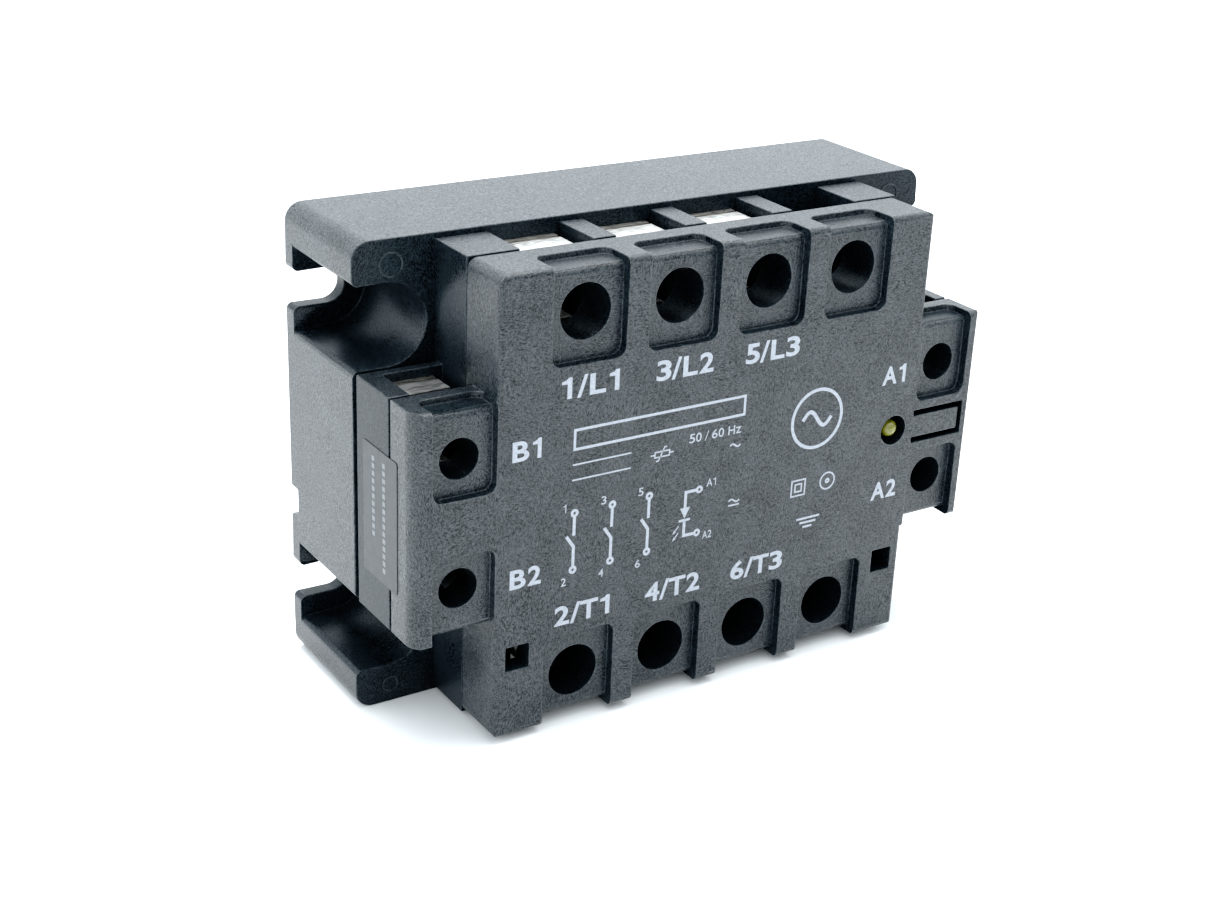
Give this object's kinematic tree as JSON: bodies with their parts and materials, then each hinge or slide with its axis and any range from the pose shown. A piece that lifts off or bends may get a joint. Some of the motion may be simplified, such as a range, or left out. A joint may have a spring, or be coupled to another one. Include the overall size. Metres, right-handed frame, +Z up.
{
  "type": "solid state relay",
  "caption": "Black box-shaped power relay with open wire cells along two edges, clamp screws behind round access holes, side wings with control terminals, and a metal base plate.",
  "frame": {"origin": "middle of the box around the part, at its bottom, as it stands on the long edge of its base housing with the line terminals up", "axes": "+X to the right seen from the terminals, +Y from the cover's face to the mounting face, +Z up towards the line terminals"},
  "size_m": [0.103, 0.042, 0.074],
  "materials": {
    "nickel_plate": "fine brushed, nickel plated",
    "black_plastic": "satin with a fine flow grain, glass filled",
    "grey_label": "dark grey satin label film",
    "potting": "satin cured resin",
    "ceramic": "matt alumina",
    "copper": "bare copper",
    "silicon": "dark coated chip",
    "pins": "tinned",
    "board": "green solder resist",
    "optocoupler_case": "moulded white case",
    "capacitor_case": "dipped yellow case",
    "resistor_body": "blue lacquer",
    "varistor_body": "blue epoxy",
    "chip_case": "black moulded case",
    "switch_case": "black moulded case",
    "amber_lens": "clear amber epoxy",
    "nickel_terminal": "nickel plated",
    "nickel_clamp": "nickel plated",
    "zinc_screw": "zinc plated"
  },
  "bodies": {
    "relay": {"base_plate": "nickel_plate", "base_housing": "black_plastic", "terminal_body": "black_plastic", "front_cover": "black_plastic", "seal_label": "grey_label", "potting_compound": "potting", "power_substrates": "ceramic", "copper_tracks": "copper", "thyristor_chips": "silicon", "cathode_clips": "copper", "gate_pins": "pins", "circuit_board": "board", "drive_optocouplers": "optocoupler_case", "snubber_capacitors": "capacitor_case", "snubber_resistors": "resistor_body", "varistors": "varistor_body", "input_rectifier": "chip_case", "current_regulator": "chip_case", "thermal_switch": "switch_case", "status_led": "amber_lens", "led_leads": "pins", "line_plate_1": "nickel_terminal", "line_plate_2": "nickel_terminal", "line_plate_3": "nickel_terminal", "load_plate_1": "nickel_terminal", "load_plate_2": "nickel_terminal", "load_plate_3": "nickel_terminal", "control_plate_a1": "nickel_terminal", "control_plate_a2": "nickel_terminal", "control_plate_b1": "nickel_terminal", "control_plate_b2": "nickel_terminal"},
    "line_clamp_1": {"line_clamp_1": "nickel_clamp"},
    "line_screw_1": {"line_screw_1": "zinc_screw"},
    "line_clamp_2": {"line_clamp_2": "nickel_clamp"},
    "line_screw_2": {"line_screw_2": "zinc_screw"},
    "line_clamp_3": {"line_clamp_3": "nickel_clamp"},
    "line_screw_3": {"line_screw_3": "zinc_screw"},
    "load_clamp_1": {"load_clamp_1": "nickel_clamp"},
    "load_screw_1": {"load_screw_1": "zinc_screw"},
    "load_clamp_2": {"load_clamp_2": "nickel_clamp"},
    "load_screw_2": {"load_screw_2": "zinc_screw"},
    "load_clamp_3": {"load_clamp_3": "nickel_clamp"},
    "load_screw_3": {"load_screw_3": "zinc_screw"},
    "control_clamp_a1": {"control_clamp_a1": "nickel_clamp"},
    "control_screw_a1": {"control_screw_a1": "zinc_screw"},
    "control_clamp_a2": {"control_clamp_a2": "nickel_clamp"},
    "control_screw_a2": {"control_screw_a2": "zinc_screw"},
    "control_clamp_b1": {"control_clamp_b1": "nickel_clamp"},
    "control_screw_b1": {"control_screw_b1": "zinc_screw"},
    "control_clamp_b2": {"control_clamp_b2": "nickel_clamp"},
    "control_screw_b2": {"control_screw_b2": "zinc_screw"}
  },
  "joints": [
    {"name": "line_clamp_1_slide", "type": "slide", "parent": "relay", "child": "line_clamp_1", "axis": [0, 1, 0], "range_m": [-0.003, 0.0006]},
    {"name": "line_screw_1_turn", "type": "hinge", "parent": "line_clamp_1", "child": "line_screw_1", "pos_m": [-0.024, -0.007, 0.0656], "axis": [0, 1, 0], "range_deg": [-1351, 271]},
    {"name": "line_clamp_2_slide", "type": "slide", "parent": "relay", "child": "line_clamp_2", "axis": [0, 1, 0], "range_m": [-0.003, 0.0006]},
    {"name": "line_screw_2_turn", "type": "hinge", "parent": "line_clamp_2", "child": "line_screw_2", "pos_m": [-0.008, -0.007, 0.0656], "axis": [0, 1, 0], "range_deg": [-1351, 271]},
    {"name": "line_clamp_3_slide", "type": "slide", "parent": "relay", "child": "line_clamp_3", "axis": [0, 1, 0], "range_m": [-0.003, 0.0006]},
    {"name": "line_screw_3_turn", "type": "hinge", "parent": "line_clamp_3", "child": "line_screw_3", "pos_m": [0.008, -0.007, 0.0656], "axis": [0, 1, 0], "range_deg": [-1351, 271]},
    {"name": "load_clamp_1_slide", "type": "slide", "parent": "relay", "child": "load_clamp_1", "axis": [0, 1, 0], "range_m": [-0.003, 0.0006]},
    {"name": "load_screw_1_turn", "type": "hinge", "parent": "load_clamp_1", "child": "load_screw_1", "pos_m": [-0.024, -0.007, 0.0084], "axis": [0, 1, 0], "range_deg": [-1351, 271]},
    {"name": "load_clamp_2_slide", "type": "slide", "parent": "relay", "child": "load_clamp_2", "axis": [0, 1, 0], "range_m": [-0.003, 0.0006]},
    {"name": "load_screw_2_turn", "type": "hinge", "parent": "load_clamp_2", "child": "load_screw_2", "pos_m": [-0.008, -0.007, 0.0084], "axis": [0, 1, 0], "range_deg": [-1351, 271]},
    {"name": "load_clamp_3_slide", "type": "slide", "parent": "relay", "child": "load_clamp_3", "axis": [0, 1, 0], "range_m": [-0.003, 0.0006]},
    {"name": "load_screw_3_turn", "type": "hinge", "parent": "load_clamp_3", "child": "load_screw_3", "pos_m": [0.008, -0.007, 0.0084], "axis": [0, 1, 0], "range_deg": [-1351, 271]},
    {"name": "control_clamp_a1_slide", "type": "slide", "parent": "relay", "child": "control_clamp_a1", "axis": [0, 1, 0], "range_m": [-0.0022, 0.0004]},
    {"name": "control_screw_a1_turn", "type": "hinge", "parent": "control_clamp_a1", "child": "control_screw_a1", "pos_m": [0.0438, -0.007, 0.047], "axis": [0, 1, 0], "range_deg": [-1585, 289]},
    {"name": "control_clamp_a2_slide", "type": "slide", "parent": "relay", "child": "control_clamp_a2", "axis": [0, 1, 0], "range_m": [-0.0022, 0.0004]},
    {"name": "control_screw_a2_turn", "type": "hinge", "parent": "control_clamp_a2", "child": "control_screw_a2", "pos_m": [0.0438, -0.007, 0.027], "axis": [0, 1, 0], "range_deg": [-1585, 289]},
    {"name": "control_clamp_b1_slide", "type": "slide", "parent": "relay", "child": "control_clamp_b1", "axis": [0, 1, 0], "range_m": [-0.0022, 0.0004]},
    {"name": "control_screw_b1_turn", "type": "hinge", "parent": "control_clamp_b1", "child": "control_screw_b1", "pos_m": [-0.0438, -0.007, 0.047], "axis": [0, 1, 0], "range_deg": [-1585, 289]},
    {"name": "control_clamp_b2_slide", "type": "slide", "parent": "relay", "child": "control_clamp_b2", "axis": [0, 1, 0], "range_m": [-0.0022, 0.0004]},
    {"name": "control_screw_b2_turn", "type": "hinge", "parent": "control_clamp_b2", "child": "control_screw_b2", "pos_m": [-0.0438, -0.007, 0.027], "axis": [0, 1, 0], "range_deg": [-1585, 289]}
  ],
  "couplings": [
    {"joint": "line_screw_1_turn", "follows": "line_clamp_1_slide", "rad_per_m": 7854},
    {"joint": "line_screw_2_turn", "follows": "line_clamp_2_slide", "rad_per_m": 7854},
    {"joint": "line_screw_3_turn", "follows": "line_clamp_3_slide", "rad_per_m": 7854},
    {"joint": "load_screw_1_turn", "follows": "load_clamp_1_slide", "rad_per_m": 7854},
    {"joint": "load_screw_2_turn", "follows": "load_clamp_2_slide", "rad_per_m": 7854},
    {"joint": "load_screw_3_turn", "follows": "load_clamp_3_slide", "rad_per_m": 7854},
    {"joint": "control_screw_a1_turn", "follows": "control_clamp_a1_slide", "rad_per_m": 12566},
    {"joint": "control_screw_a2_turn", "follows": "control_clamp_a2_slide", "rad_per_m": 12566},
    {"joint": "control_screw_b1_turn", "follows": "control_clamp_b1_slide", "rad_per_m": 12566},
    {"joint": "control_screw_b2_turn", "follows": "control_clamp_b2_slide", "rad_per_m": 12566}
  ]
}
